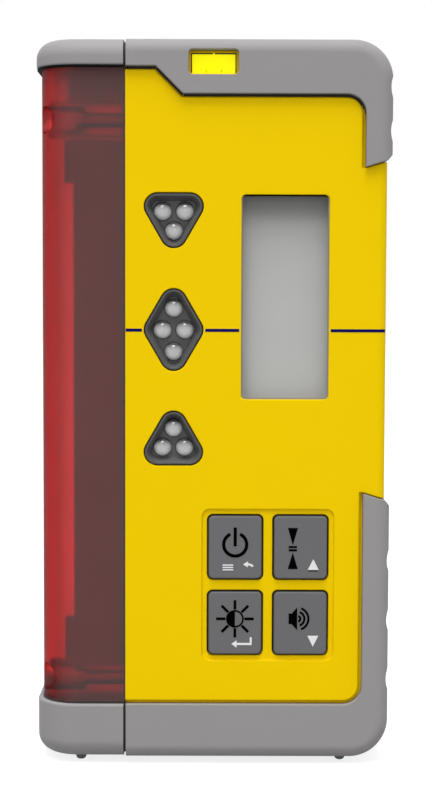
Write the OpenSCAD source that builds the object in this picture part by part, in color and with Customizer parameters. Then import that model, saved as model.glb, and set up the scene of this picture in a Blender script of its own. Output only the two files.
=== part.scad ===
// Laser receiver: a yellow housing in grey rubber boots, with a red sensor window on the left,
// a display on each side, ten grade lights, four keys, a level vial and a battery door.
// Millimetres, +Z up, the front faces -Y, origin on the floor under the middle of the part.

/* [Overall] */
// Width across the boots
overall_w = 83.6; // [82:0.1:92]
// Height of the boots, without the feet
body_h = 169; // [164:0.5:180]
// Depth across the boots
overall_d = 36; // [35:0.5:42]
// Height of the feet under the boots
foot_h = 1.5; // [1.2:0.1:4]
// Width of the sensor side, from the left end to the split line
sensor_w = 21.3; // [19.5:0.1:22]

/* [Housing] */
// Wall of the housing
wall = 2.2; // [1.8:0.1:2.6]
// Radius of the boots' corners, seen from the front
corner_r = 9.2; // [7:0.1:12]
// Radius of the boots' long edges
edge_r = 3.2; // [2.6:0.1:4]
// Thickness of the seal between the two halves
case_seal_t = 0.5; // [0.3:0.1:0.8]
// Width of the groove between the yellow panel and the boots
groove = 0.85; // [0.5:0.05:1.4]
// Radius of a case screw
case_screw_r = 1.25; // [1:0.05:1.5]

/* [Boots] */
// Thickness of the rubber over the housing
boot_t = 2.5; // [2:0.1:2.7]
// How far the boots stand out from the yellow faces
boot_proud = 1.25; // [0.8:0.05:1.4]
// Height of the top boot's band
boot_band = 12.7; // [11:0.1:14]
// Height of the bottom boot's band
low_band = 13; // [11:0.1:14]
// Height of the narrow band at the top left
step_band = 6.4; // [5.4:0.1:8]
// Length of the narrow band, from the split line
step_run = 7.1; // [5:0.1:9]
// Width of the arms down the right side
arm_w = 6.4; // [6:0.1:7.6]
// Length of the top boot's arm, from the top
top_arm = 29.5; // [26:0.1:32]
// Length of the bottom boot's arm, from the bottom
low_arm = 63.2; // [56:0.1:64]
// Rise of the slanted end of an arm
arm_slant = 1.6; // [0.4:0.1:2]
// Radius of the yellow panel's corners
panel_r = 4.5; // [3.6:0.1:6]
// Depth of a grip scallop
scallop_depth = 0.6; // [0.3:0.05:0.9]
// Radius of a grip scallop
scallop_r = 6; // [4:0.1:8]

/* [Sensor side] */
// How far the end caps stand out from the window
cap_proud = 1.25; // [0.8:0.05:1.5]
// Height of the end caps' visible walls
cap_h = 13; // [10:0.05:14]
// Height of the top cap's visible wall
cap_top_h = 6.3; // [5.2:0.05:8]
// How far the window reaches into its caps
cap_socket = 2.4; // [1.5:0.1:2.6]
// Radius of the caps' upright corners
cap_r = 10; // [8:0.1:12]
// Radius of the caps' top and bottom edges
cap_edge_r = 4.2; // [3.2:0.1:5.4]
// Wall of the window
window_t = 2.2; // [1.6:0.1:2.6]
// Thickness of the window seal
window_seal_t = 0.3; // [0.3:0.05:0.6]
// Distance of the window screws from the top and the bottom of the boots
window_screw_end = 18.5; // [18:0.1:20]
// Distance of the window screws from the window's faces
window_screw_in = 4.9; // [4.8:0.1:5.4]
// Radius of the bosses in the window
window_boss_r = 4.3; // [4:0.1:4.6]
// Radius of the counterbores in the window
window_bore_r = 3.2; // [3:0.05:3.4]
// Depth of the counterbores, from the window's left end
window_bore_depth = 10.3; // [9:0.1:12]
// Radius of a window screw
window_screw_r = 1.5; // [1.2:0.05:1.7]
// Width of the sensor holder
holder_w = 12.3; // [11:0.1:13.5]
// How much wider the holder is at its ends
holder_wing = 2; // [0.5:0.1:2.2]
// Number of photodiodes
photodiode_count = 12; // [8:1:14]

/* [Front] */
// Height of the grade line above the bottom of the boots
grade_z = 101.6; // [100.5:0.1:103]
// Distance of the lights from the split line
light_in = 11.3; // [11:0.1:12]
// Width of a light group's frame
pod_w = 13.9; // [13.4:0.1:14.4]
// Half height of the diamond frame
diamond_h = 9.65; // [9:0.05:9.9]
// Distance of the triangle frames' points from the grade line
pod_near = 19; // [18.5:0.1:19.5]
// Distance of the triangle frames' flat sides from the grade line
pod_far = 31.9; // [31:0.1:32.5]
// Corner radius of a light group's frame
pod_r = 3.2; // [2.6:0.1:3.8]
// Radius of a light
led_r = 2.13; // [1.8:0.01:2.3]
// Width of the display opening
lcd_w = 20.5; // [18:0.1:21]
// Height of the display opening
lcd_h = 47.8; // [44:0.1:48.5]
// Height of the display's middle over the grade line
lcd_up = 7.6; // [7:0.1:8.4]
// Distance from the display opening to the arm
lcd_margin = 8.3; // [8:0.1:9]
// Width of a key
key_w = 12.7; // [11.5:0.1:13.2]
// Height of a key
key_h = 15.05; // [13.5:0.05:15.8]
// Spacing of the keys across
key_pitch_x = 15.4; // [15.2:0.1:15.9]
// Spacing of the keys up
key_pitch_z = 18; // [17.8:0.1:18.6]
// Distance of the keys' middle from the split line
keys_in = 33.6; // [33:0.1:34.4]
// Height of the keys' middle
keys_z = 41.4; // [40.5:0.1:42]
// Travel of a key
key_travel = 0.9; // [0.5:0.1:1]
// Clearance around a key
key_gap = 0.3; // [0.2:0.05:0.35]
// Depth of the shallow tray around the keys
tray_depth = 0.4; // [0.2:0.05:0.6]
// Width of the vial
vial_w = 10; // [9:0.1:12]
// Height of the vial
vial_h = 4.2; // [4:0.05:5]
// Room around the vial in the top boot's opening
vial_frame = 0.8; // [0.6:0.05:1]
// Distance from the vial opening to the top
vial_top = 2.6; // [2.5:0.1:3.5]

/* [Inside] */
// Distance from the panel's inside to the main board
board_gap = 6.1; // [5.6:0.1:6.4]
// Thickness of the boards
board_t = 1.6; // [1:0.1:2]

/* [Rear] */
// Width of the rear display opening
rear_lcd_w = 20.5; // [18:0.1:21]
// Height of the rear display opening
rear_lcd_h = 30; // [26:0.1:31]
// Height of the rear display's middle
rear_lcd_z = 127.6; // [126.5:0.1:129]
// Height of the clamp thread
clamp_z = 96.6; // [95:0.1:97]
// Radius of the clamp thread's bore
clamp_r = 2.6; // [2.2:0.05:3]
// Length of the clamp thread
clamp_l = 9; // [7:0.1:10]
// Distance of each locating hole from the clamp thread
locator_x = 16; // [14:0.1:17]
// Radius of a locating hole
locator_r = 2.5; // [2:0.05:2.8]
// Radius of a battery cell
cell_r = 7.25; // [7:0.05:7.3]
// Length of a battery cell
cell_l = 50.5; // [49:0.1:50.7]
// Height of the battery bay's floor
bay_z = 25.6; // [24:0.1:26]
// Radius of the battery door's pin
pin_r = 0.55; // [0.5:0.01:0.6]
// How far the pin reaches into the housing at each end
pin_reach = 1.8; // [1.4:0.1:2]

/* [Hidden] */
$fn = 48;
// Room of a close fit, of a bore's filling and around a screw
fit = 0.05;
bore_fit = 0.02;
screw_clear = 0.2;
// How far a cut runs past a face, and how far a boss roots into a wall
past = 1;
root = 0.5;

half_w = overall_w / 2;
half_d = overall_d / 2;
split_x = sensor_w - half_w;
face_y = half_d - boot_proud;
side_x = half_w - boot_proud;
core_y = half_d - boot_t;
inner_y = face_y - wall;
cavity_y = core_y - wall;
cavity_x = half_w - boot_t - wall;
arm_x = half_w - arm_w;
seal_y = case_seal_t / 2;
seal_in = 0.3;
top_end_z = body_h - top_arm;
end_bevel = 1.4;
split_groove = 0.12;
seam_in = 0.7;
arm_groove = 0.3;
scallop_top_in = 10.9;
scallop_top_pitch = 10.15;
scallop_low_in = 19;
scallop_low_pitch = 14.1;
scallop_z_top = [for (i = [0, 1]) body_h - scallop_top_in - i * scallop_top_pitch];
scallop_z_low = [for (i = [0, 1, 2]) scallop_low_in + i * scallop_low_pitch];

window_left = cap_proud - half_w;
window_right = split_x - window_seal_t;
window_r = cap_r - cap_proud;
window_low = cap_h - cap_socket;
window_high = body_h - cap_top_h + cap_socket;
window_seal_in = 0.2;
window_seal_w = window_t - window_seal_in;
cap_gap = 0.1;
cap_right = window_right - split_groove;
rim_r = 0.5;
window_screw_y = face_y - window_screw_in;
window_screw_z = [window_screw_end, body_h - window_screw_end];
window_seat_x = window_left + window_bore_depth;
thread_wall = 1.7;
thread_l = 7;
thread_end = 1.8;
thread_boss_r = window_screw_r + thread_wall;
thread_boss_l = wall + thread_l;
window_screw_tip = split_x + thread_boss_l - thread_end;
holder_t = 1.2;
holder_side_gap = 1.3;
holder_y = face_y - window_t - holder_side_gap;
holder_gap = 0.4;
holder_low = window_screw_end + window_boss_r + holder_gap;
holder_high = body_h - holder_low;
holder_end_y = window_screw_y - window_boss_r - holder_gap;
holder_wing_h = 10;
holder_boss_room = 2 * (window_boss_r + holder_gap);
holder_end_high = window_high - window_t - holder_gap;
board_edge = 1.2;
sensor_board_y = holder_y - holder_t - board_edge;
sensor_board_x = split_x - holder_t - board_t;
diode_t = 1.2;
diode_w = 6;
diode_h = 5;
diode_pitch = (holder_high - holder_low - 2 * diode_h) / (photodiode_count - 1);
ribbon_t = 0.3;
ribbon_w = 10;
ribbon_bend = 4.5;
ribbon_y = -2;
ribbon_down = 14.1;
ribbon_z = grade_z - ribbon_down;

light_x = split_x + light_in;
led_side = 2.63;
led_point_in = 4.1;
led_flat_in = 4.25;
led_diamond_in = 4.55;
led_sink = 0.15;
led_gap = 0.06;
led_collar = 0.45;
led_collar_t = 0.9;
lead_r = 0.25;
pod_sink = 0.1;
pod_flange = 1.2;
pod_flange_t = 1;
pod_gap = 0.28;
pod_lip = 0.7;
pod_slope = 1.2;
pod_depth = 2;
upper_leds = [
    [-led_side, pod_far - led_flat_in],
    [led_side, pod_far - led_flat_in],
    [0, pod_near + led_point_in]
];
centre_leds = [
    [0, diamond_h - led_diamond_in],
    [-led_side, 0],
    [led_side, 0],
    [0, led_diamond_in - diamond_h]
];
lower_leds = [for (spot = upper_leds) [spot[0], -spot[1]]];
upper_corners = [
    [pod_r - pod_w / 2, pod_far - pod_r],
    [pod_w / 2 - pod_r, pod_far - pod_r],
    [0, pod_near + pod_r]
];
centre_corners = [
    [0, diamond_h - pod_r],
    [pod_w / 2 - pod_r, 0],
    [0, pod_r - diamond_h],
    [pod_r - pod_w / 2, 0]
];
lower_corners = [for (spot = upper_corners) [spot[0], -spot[1]]];

lcd_x = arm_x - lcd_margin - lcd_w / 2;
lcd_z = grade_z + lcd_up;
lens_lap = 1.5;
lens_t = 1.2;
lens_r = 1.1;
rear_lcd_gap = 1.4;
lcd_t = 2;
lcd_floor_t = 0.8;
lcd_depth = board_gap - lcd_floor_t - fit - lcd_t;

keys_x = split_x + keys_in;
key_r = 1.07;
key_proud = 0.3;
key_edge = 0.35;
key_flange = 0.8;
key_flange_t = 0.8;
key_rest_gap = 0.1;
key_foot_r = 2.5;
tray_margin = 1.5;
dome_h = 0.8;
dome_r = 3.2;
press_gap = 0.15;
keypad_gap = 0.35;
keypad_rim = 1.6;
keypad_t = 0.8;
keypad_room = 0.3;
keypad_y = key_rest_gap + key_flange_t + key_travel + keypad_room - inner_y;

board_y = board_gap - inner_y;
board_back = board_y + board_t;
board_low_in = 1;
board_left_gap = 1.5;
board_right_gap = 1;
board_low = holder_low + board_low_in;
board_high = holder_high;
board_left = split_x + wall + board_left_gap;
board_right = cavity_x - board_right_gap;
boss_wall = 1.75;
rear_boss_extra = 0.6;
boss_r = case_screw_r + boss_wall;
rear_boss_r = boss_r + rear_boss_extra;
boss_clear = 0.5;
screw_head_r = 2.5;
screw_head_t = 2;
screw_sink = 4.5;
post_r = 2.5;
board_screw_r = 1;
screw_tip_gap = 1.2;
board_screw_tip = screw_tip_gap - inner_y;
small_head_r = 1.9;
small_head_t = 1.4;
// Places of the bosses, each from the edge or piece that it keeps clear of
boss_left_in = 5.1;
boss_right_in = 7.4;
left_boss_x = split_x + boss_left_in;
right_boss_x = half_w - boss_right_in;
boss_bay_up = 4;
boss_below_pod = 10.8;
boss_above_pod = 8.4;
boss_arm_up = 5.7;
boss_arm_down = 4.9;
boss_corner_in = 5.1;
boss_corner_up = 4.6;
case_spots = [
    [left_boss_x, bay_z + boss_bay_up],
    [left_boss_x, grade_z - pod_far - boss_below_pod],
    [left_boss_x, grade_z + pod_far + boss_above_pod],
    [right_boss_x, low_arm + boss_arm_up],
    [right_boss_x, top_end_z - boss_arm_down],
    [arm_x - boss_corner_in, low_band + boss_corner_up]
];
post_down = 4;
post_upper_in = 20.9;
post_lower_in = 8.9;
post_keys_up = 7;
post_arm_in = 2.6;
post_arm_up = 14.7;
board_spots = [
    [split_x + post_upper_in, board_high - post_down],
    [arm_x - boss_corner_in, board_high - post_down],
    [split_x + post_lower_in, keys_z + post_keys_up],
    [arm_x - post_arm_in, low_arm + post_arm_up]
];
chip_t = 1.4;
// Chips on the back of the board: place from the middle of the display, then width and height
chips = [[-2, 0, 10, 10], [10, 14, 6, 5], [8, -16, 7, 5], [-18, -4, 5, 8]];

vial_x = 0;
vial_drop = 0.15;
vial_z = body_h - vial_top - vial_frame - vial_h / 2 - vial_drop;
vial_gap = 0.35;
vial_frame_r = 0.9;
vial_wall = 2;
vial_depth = 9;
vial_front = vial_gap - core_y;
vial_back = vial_front + vial_depth;
vial_pocket_w = vial_w + 2 * vial_gap;
vial_pocket_h = vial_h + 2 * vial_gap;
vial_box_half = vial_pocket_w / 2 + vial_wall;
vial_bore_wall = 0.6;
vial_bore_r = vial_h / 2 - vial_bore_wall;
vial_y = vial_front + vial_h / 2;
vial_plug_l = 1;
bubble_r = 0.7;
bubble_l = 2.6;

rear_x = (split_x + arm_x) / 2;
rear_board_y = inner_y - rear_lcd_gap - lcd_t - board_t;
rear_post_r = 1.9;
rear_post_gap = 0.3;
rear_post_in = 1;
rear_post_out = lens_lap + rear_post_r + rear_post_gap;
rear_screw_tip = inner_y - screw_tip_gap;
rear_board_h = rear_lcd_h + 2 * rear_post_out + 2 * rear_post_r;
rear_posts = [for (sx = [-1, 1], sz = [-1, 1])
    [rear_x + sx * (rear_lcd_w / 2 - rear_post_in), rear_lcd_z + sz * (rear_lcd_h / 2 + rear_post_out)]];
clamp_sleeve_t = 1.6;
clamp_boss_t = 1.8;
locator_boss_t = 1.5;
clamp_sleeve_r = clamp_r + clamp_sleeve_t;
clamp_boss_r = clamp_sleeve_r + clamp_boss_t;
locator_l = 5;
locator_boss_r = locator_r + locator_boss_t;
buzzer_in = 14;
buzzer_down = 10;
buzzer_gap = 0.3;
buzzer_x = half_w - buzzer_in;
buzzer_z = rear_lcd_z - buzzer_down;
buzzer_r = 7;
buzzer_l = 7;
buzzer_ring = 1.1;
membrane_t = 0.6;
membrane_r = 4.5;
buzzer_y = inner_y - membrane_t - buzzer_gap - buzzer_l;
buzzer_hold_y = buzzer_y + buzzer_l / 4;
sound_hole_r = 0.7;
sound_ring_r = 2.3;

cell_gap = 0.4;
button_r = 2.75;
button_h = 1;
bay_clear = 0.3;
bay_wall = 1.6;
bay_half_w = 2 * cell_r + cell_gap / 2 + bay_clear;
contact_room = 1.5;
contact_t = 0.4;
contact_w = 9;
contact_gap_half = cell_r + cell_gap / 2 - contact_w / 2;
leaf_gap = 0.1;
leaf_flat = 1;
bay_l = cell_l + 2 * contact_room;
bay_top_z = bay_z + bay_l;
cell_y = inner_y - bay_clear - cell_r;
bay_front_y = cell_y - cell_r - bay_clear;
door_t = wall;
door_lap = 1.7;
door_gap = 0.25;
door_half_w = bay_half_w + door_lap;
door_top_z = bay_top_z + door_lap;
door_corner_r = 3;
door_seal_t = 0.6;
door_seal_gap = 0.1;
ledge_y = inner_y - door_seal_t - door_seal_gap;
flange_w = 2.6;
pin_y = inner_y + door_t / 2;
pin_z = bay_z - door_lap - door_t / 2;
pin_half_l = door_half_w + pin_reach;
pin_fit = 0.05;
hinge_relief = 0.9;
notch_r = 6;
notch_depth = 1.2;

foot_r = 1.25;
foot_nose_r = 0.9;
foot_skin = 0.2;
foot_stem_l = boot_t - foot_skin;
foot_left_in = 10.5;
foot_right_in = 11.1;
foot_in_y = 5.8;
foot_x = [foot_left_in - half_w, half_w - foot_right_in];
foot_spots = [for (x = foot_x, side = [-1, 1]) [x, side * (half_d - foot_in_y)]];

// Helpers

// Lifts what is drawn from the bottom of the boots onto the feet
module on_feet() {
    translate([0, 0, foot_h]) children();
}

// Sweeps an outline of x and z from one depth to another
module span_y(from, to) {
    rotate([90, 0, 0]) translate([0, 0, -to]) linear_extrude(to - from) children();
}

// Sweeps an outline of y and z from one side to another
module span_x(from, to) {
    rotate([90, 0, 90]) translate([0, 0, from]) linear_extrude(to - from) children();
}

// Sweeps an outline of x and y from one height to another
module span_z(from, to) {
    translate([0, 0, from]) linear_extrude(to - from) children();
}

module rod_y(x, z, from, to, r) {
    translate([x, from, z]) rotate([-90, 0, 0]) cylinder(h = to - from, r = r);
}

module rod_x(y, z, from, to, r) {
    translate([from, y, z]) rotate([0, 90, 0]) cylinder(h = to - from, r = r);
}

module block(low, high) {
    translate(low) cube(high - low);
}

// Rectangle with round corners, centred
module rounded(w, h, r) {
    square([w, h - 2 * r], center = true);
    square([w - 2 * r, h], center = true);
    for (x = [-1, 1], z = [-1, 1]) translate([x * (w / 2 - r), z * (h / 2 - r)]) circle(r);
}

// Section across the edge of a slab, with both outer corners round
module edge_section(reach, half, edge) {
    translate([0, -half]) square([reach - edge, 2 * half]);
    translate([0, edge - half]) square([reach, 2 * (half - edge)]);
    for (side = [-1, 1]) translate([reach - edge, side * (half - edge)]) circle(edge);
}

// The housing's part of the outer form, drawn in by some amount: flat on the left,
// with round corners and round long edges elsewhere
module slab(inset) {
    reach = corner_r - inset;
    edge = edge_r - inset;
    half = half_d - inset;
    right = half_w - corner_r;
    low = corner_r;
    high = body_h - corner_r;
    block([split_x, -half, low], [right, half, high]);
    translate([right, 0, low]) linear_extrude(high - low) edge_section(reach, half, edge);
    translate([right, 0, high]) rotate([0, -90, 0])
        linear_extrude(right - split_x) edge_section(reach, half, edge);
    translate([split_x, 0, low]) rotate([0, 90, 0])
        linear_extrude(right - split_x) edge_section(reach, half, edge);
    translate([right, 0, high]) rotate([90, 0, 0])
        rotate_extrude(angle = 90) edge_section(reach, half, edge);
    translate([right, 0, low]) rotate([-90, 0, 0])
        rotate_extrude(angle = 90) edge_section(reach, half, edge);
}

// Front outline of the housing's part, drawn in by some amount, from a given left side
module housing_outline(inset, left) {
    r = corner_r - inset;
    right = half_w - inset;
    translate([left, corner_r]) square([right - left, body_h - 2 * corner_r]);
    translate([left, inset]) square([right - r - left, body_h - 2 * inset]);
    for (z = [corner_r, body_h - corner_r]) translate([right - r, z]) circle(r);
}

// The field of the yellow panel between the boots, drawn in by some amount, and by another
// amount at the ends of the arms
module panel(inset, end_in, left) {
    low = low_band + inset;
    high = body_h - boot_band - inset;
    right = arm_x - inset;
    r = panel_r - inset;
    step_x = split_x + step_run - inset * (sqrt(2) - 1);
    step_end_x = step_x + boot_band - step_band;
    step_z = body_h - step_band - inset;
    out_x = half_w + boot_proud;
    out_rise = arm_slant + 2 * end_bevel;
    translate([left, low + r]) square([right - left, high - low - 2 * r]);
    translate([left, low]) square([right - r - left, high - low]);
    for (z = [low + r, high - r]) translate([right - r, z]) circle(r);
    polygon([[left, high - r], [step_end_x, high - r], [step_end_x, high], [step_x, step_z], [left, step_z]]);
    polygon([
        [right - r, low_arm + end_in],
        [arm_x, low_arm + end_in],
        [side_x, low_arm - arm_slant + end_in],
        [out_x, low_arm - out_rise + end_in],
        [out_x, top_end_z + out_rise - end_in],
        [side_x, top_end_z + arm_slant - end_in],
        [arm_x, top_end_z - end_in],
        [right - r, top_end_z - end_in]
    ]);
}

// Screw along Y with its head at the far end, and a hexagon socket
module screw_y(x, z, tip, seat, r, head_r, head_t) {
    difference() {
        union() {
            rod_y(x, z, tip, seat + head_t / 2, r);
            rod_y(x, z, seat, seat + head_t, head_r);
        }
        translate([x, seat + head_t / 2, z]) rotate([-90, 0, 0])
            cylinder(h = head_t, r = head_r / 2, $fn = 6);
    }
}

// Outline of a light group's frame around its corner points, grown by some amount
module pod_outline(corners, grow) {
    hull() for (spot = corners)
        translate([light_x + spot[0], grade_z + spot[1]]) circle(pod_r + grow, $fn = 32);
}

// Copies an outline to the place of each key
module each_key() {
    for (col = [-1, 1], row = [-1, 1])
        translate([keys_x + col * key_pitch_x / 2, keys_z + row * key_pitch_z / 2]) children();
}

module keypad_outline(grow) {
    translate([keys_x, keys_z])
        rounded(key_pitch_x + key_w + 2 * grow, key_pitch_z + key_h + 2 * grow, key_r + grow / 2);
}

module lcd_outline(grow) {
    translate([lcd_x, lcd_z]) rounded(lcd_w + 2 * grow, lcd_h + 2 * grow, lens_r);
}

module rear_lcd_outline(grow) {
    translate([rear_x, rear_lcd_z]) rounded(rear_lcd_w + 2 * grow, rear_lcd_h + 2 * grow, lens_r);
}

// Outline of the battery door, with its upper corners round
module door_outline(grow) {
    half = door_half_w + grow;
    low = pin_z - door_t / 2 - grow;
    top = door_top_z + grow;
    r = door_corner_r + grow;
    translate([rear_x - half, low]) square([2 * half, top - r - low]);
    translate([rear_x + r - half, low]) square([2 * (half - r), top - low]);
    for (side = [-1, 1]) translate([rear_x + side * (half - r), top - r]) circle(r);
}

// Housing

module body_solid() {
    slab(boot_t);
    intersection() {
        slab(boot_proud);
        span_y(-half_d, half_d) panel(groove, arm_groove, split_x - past);
    }
}

// One half of the housing as an open shell; side is -1 in front and 1 behind
module shell_blank(side) {
    near = side * seal_y;
    far = side * (half_d + past);
    deep = side * (cavity_y - past);
    difference() {
        intersection() {
            body_solid();
            block([-overall_w, min(near, far), -past], [overall_w, max(near, far), body_h + past]);
        }
        span_y(min(0, side * cavity_y), max(0, side * cavity_y))
            housing_outline(boot_t + wall, split_x + wall);
        span_y(min(deep, side * inner_y), max(deep, side * inner_y)) intersection() {
            panel(groove + wall, arm_groove + wall, split_x + wall);
            translate([split_x, 0]) square([side_x - wall - split_x, body_h]);
        }
    }
}

module front_shell() {
    color("gold") on_feet() difference() {
        union() {
            shell_blank(-1);
            for (spot = case_spots) rod_y(spot[0], spot[1], -inner_y - root, -seal_y, boss_r);
            for (spot = board_spots) rod_y(spot[0], spot[1], -inner_y - root, board_y, post_r);
            for (z = window_screw_z)
                rod_x(-window_screw_y, z, split_x + root, split_x + thread_boss_l, thread_boss_r);
            block(
                [vial_x - vial_box_half, root - core_y, vial_z - vial_pocket_h / 2 - vial_wall],
                [vial_x + vial_box_half, vial_back + vial_wall, body_h - boot_t - root]
            );
        }
        for (spot = case_spots) rod_y(spot[0], spot[1], board_y - past, past, case_screw_r + fit);
        for (spot = board_spots)
            rod_y(spot[0], spot[1], board_screw_tip - root, board_y + past, board_screw_r + fit);
        for (z = window_screw_z)
            rod_x(-window_screw_y, z, split_x - past, window_screw_tip + root, window_screw_r + fit);
        span_y(-half_d, past - cavity_y) {
            pod_outline(upper_corners, fit);
            pod_outline(centre_corners, fit);
            pod_outline(lower_corners, fit);
        }
        span_y(-half_d, past - cavity_y) lcd_outline(0);
        span_y(-inner_y - lens_t, past - inner_y) lcd_outline(lens_lap + fit);
        span_y(-half_d, tray_depth - face_y) keypad_outline(tray_margin);
        span_y(-half_d, past - inner_y) each_key()
            rounded(key_w + 2 * key_gap, key_h + 2 * key_gap, key_r + key_gap);
        block(
            [vial_x - vial_pocket_w / 2, -half_d, vial_z - vial_pocket_h / 2],
            [vial_x + vial_pocket_w / 2, vial_back, vial_z + vial_pocket_h / 2]
        );
        block(
            [split_x - past, ribbon_y - 2 * ribbon_t, ribbon_z - ribbon_w / 2 - root],
            [split_x + wall + past, ribbon_y + 2 * ribbon_t, ribbon_z + ribbon_w / 2 + root]
        );
    }
}

module rear_shell() {
    flange_half = door_half_w + door_gap + flange_w;
    hinge_edge_z = pin_z - door_t / 2 - door_gap;
    color("gold") on_feet() difference() {
        union() {
            shell_blank(1);
            for (spot = case_spots) rod_y(spot[0], spot[1], seal_y, inner_y + root, rear_boss_r);
            for (z = window_screw_z)
                rod_x(window_screw_y, z, split_x + root, split_x + thread_boss_l, thread_boss_r);
            for (spot = rear_posts)
                rod_y(spot[0], spot[1], rear_board_y + board_t, inner_y + root, rear_post_r);
            rod_y(rear_x, clamp_z, face_y - clamp_l - wall, inner_y + root, clamp_boss_r);
            for (side = [-1, 1]) translate([side * locator_x, 0, 0])
                rod_y(rear_x, clamp_z, face_y - locator_l - wall, inner_y + root, locator_boss_r);
            difference() {
                rod_y(buzzer_x, buzzer_z, buzzer_hold_y, inner_y + root, buzzer_r + fit + buzzer_ring);
                rod_y(buzzer_x, buzzer_z, 0, inner_y, buzzer_r + fit);
            }
            block(
                [rear_x - bay_half_w - bay_wall, bay_front_y - bay_wall, bay_z - bay_wall],
                [rear_x + bay_half_w + bay_wall, inner_y + root, bay_top_z + bay_wall]
            );
            block(
                [rear_x - flange_half, ledge_y - bay_wall, hinge_edge_z - flange_w],
                [rear_x + flange_half, inner_y + root, door_top_z + door_gap + flange_w]
            );
        }
        for (spot = case_spots) {
            rod_y(spot[0], spot[1], -past, half_d, case_screw_r + screw_clear);
            rod_y(spot[0], spot[1], face_y - screw_sink, half_d, screw_head_r + screw_clear);
        }
        for (z = window_screw_z)
            rod_x(window_screw_y, z, split_x - past, window_screw_tip + root, window_screw_r + fit);
        for (spot = rear_posts) rod_y(spot[0], spot[1], 0, rear_screw_tip + root, board_screw_r + fit);
        rod_y(rear_x, clamp_z, face_y - clamp_l, half_d, clamp_sleeve_r + fit);
        for (side = [-1, 1]) rod_y(rear_x + side * locator_x, clamp_z, face_y - locator_l, half_d, locator_r);
        span_y(cavity_y - past, half_d) rear_lcd_outline(0);
        span_y(inner_y - past, inner_y + lens_t) rear_lcd_outline(lens_lap + fit);
        rod_y(buzzer_x, buzzer_z, cavity_y, half_d, sound_hole_r);
        for (turn = [0 : 60 : 300]) translate([sound_ring_r * cos(turn), 0, sound_ring_r * sin(turn)])
            rod_y(buzzer_x, buzzer_z, cavity_y, half_d, sound_hole_r);
        block([rear_x - bay_half_w, bay_front_y, bay_z], [rear_x + bay_half_w, half_d, bay_top_z]);
        span_y(ledge_y, half_d) door_outline(door_gap);
        span_x(rear_x - door_half_w - door_gap, rear_x + door_half_w + door_gap) polygon([
            [face_y - hinge_relief, hinge_edge_z],
            [face_y + past, hinge_edge_z],
            [face_y + past, hinge_edge_z - hinge_relief - past]
        ]);
        rod_x(pin_y, pin_z, rear_x - pin_half_l, rear_x + pin_half_l, pin_r + pin_fit / 2);
        translate([rear_x, face_y + notch_r - notch_depth, door_top_z]) sphere(notch_r);
    }
}

module case_seal() {
    color("dimgray") on_feet() span_y(-seal_y, seal_y) difference() {
        housing_outline(boot_t + seal_in, split_x);
        housing_outline(boot_t + wall, split_x + wall);
    }
}

module case_screws() {
    color("silver") on_feet() for (spot = case_spots)
        screw_y(spot[0], spot[1], board_y, face_y - screw_sink, case_screw_r, screw_head_r, screw_head_t);
}

// Boots

module boot_blank() {
    difference() {
        slab(0);
        slab(boot_t - fit);
        span_y(-half_d - past, half_d + past) panel(0, 0, split_x - past);
        block(
            [split_x - past, -half_d - past, -past],
            [split_x + split_groove, half_d + past, body_h + past]
        );
    }
}

module scallops(heights) {
    for (z = heights)
        rod_y(half_w + scallop_r - scallop_depth, z, -half_d - past, half_d + past, scallop_r);
}

module top_boot() {
    color("darkgray") on_feet() difference() {
        boot_blank();
        block([-overall_w, -overall_d, -past], [overall_w, overall_d, body_h / 2]);
        scallops(scallop_z_top);
        span_y(-half_d - past, 0) translate([vial_x, vial_z + vial_drop])
            rounded(vial_w + 2 * vial_frame, vial_h + 2 * vial_frame, vial_frame_r);
    }
}

module bottom_boot() {
    color("darkgray") on_feet() difference() {
        boot_blank();
        block([-overall_w, -overall_d, body_h / 2], [overall_w, overall_d, body_h + past]);
        scallops(scallop_z_low);
        foot_holes();
    }
}

// Sensor side

// Outline, seen from above, of the sensor side: flat on the right, round corners on the left
module sensor_plan(left, right, half, r) {
    translate([left + r, -half]) square([right - left - r, 2 * half]);
    translate([left, r - half]) square([right - left, 2 * (half - r)]);
    for (side = [-1, 1]) translate([left + r, side * (half - r)]) circle(r);
}

// Section of a cap's wall: a rim with a small round below, a larger round above
module cap_section(h) {
    polygon([
        [0, 0],
        [cap_r - rim_r, 0],
        [cap_r - rim_r, rim_r],
        [cap_r, rim_r],
        [cap_r, h - cap_edge_r],
        [cap_r - cap_edge_r, h - cap_edge_r],
        [cap_r - cap_edge_r, h],
        [0, h]
    ]);
    translate([cap_r - rim_r, rim_r]) circle(rim_r);
    translate([cap_r - cap_edge_r, h - cap_edge_r]) intersection() {
        circle(cap_edge_r);
        square(cap_edge_r);
    }
}

// An end cap as it stands at the top, with its rim at zero
module cap_blank(h) {
    middle = half_d - cap_r;
    inner = cap_r - half_w;
    block([inner, -middle, 0], [cap_right, middle, h]);
    translate([inner, -middle, 0]) rotate([90, 0, 180]) linear_extrude(2 * middle) cap_section(h);
    translate([cap_right, -middle, 0]) rotate([90, 0, -90]) linear_extrude(cap_right - inner) cap_section(h);
    translate([inner, middle, 0]) rotate([90, 0, 90]) linear_extrude(cap_right - inner) cap_section(h);
    translate([inner, middle, 0]) rotate([0, 0, 90]) rotate_extrude(angle = 90) cap_section(h);
    translate([inner, -middle, 0]) rotate([0, 0, 180]) rotate_extrude(angle = 90) cap_section(h);
}

module window_socket() {
    span_z(window_low - cap_gap, window_high + cap_gap)
        sensor_plan(window_left - cap_gap, split_x, face_y + cap_gap, window_r + cap_gap);
}

module window_cap_top() {
    color("darkgray") on_feet() difference() {
        translate([0, 0, body_h - cap_top_h]) cap_blank(cap_top_h);
        window_socket();
    }
}

module window_cap_bottom() {
    color("darkgray") on_feet() difference() {
        translate([0, 0, cap_h]) mirror([0, 0, 1]) cap_blank(cap_h);
        window_socket();
        foot_holes();
    }
}

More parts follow.
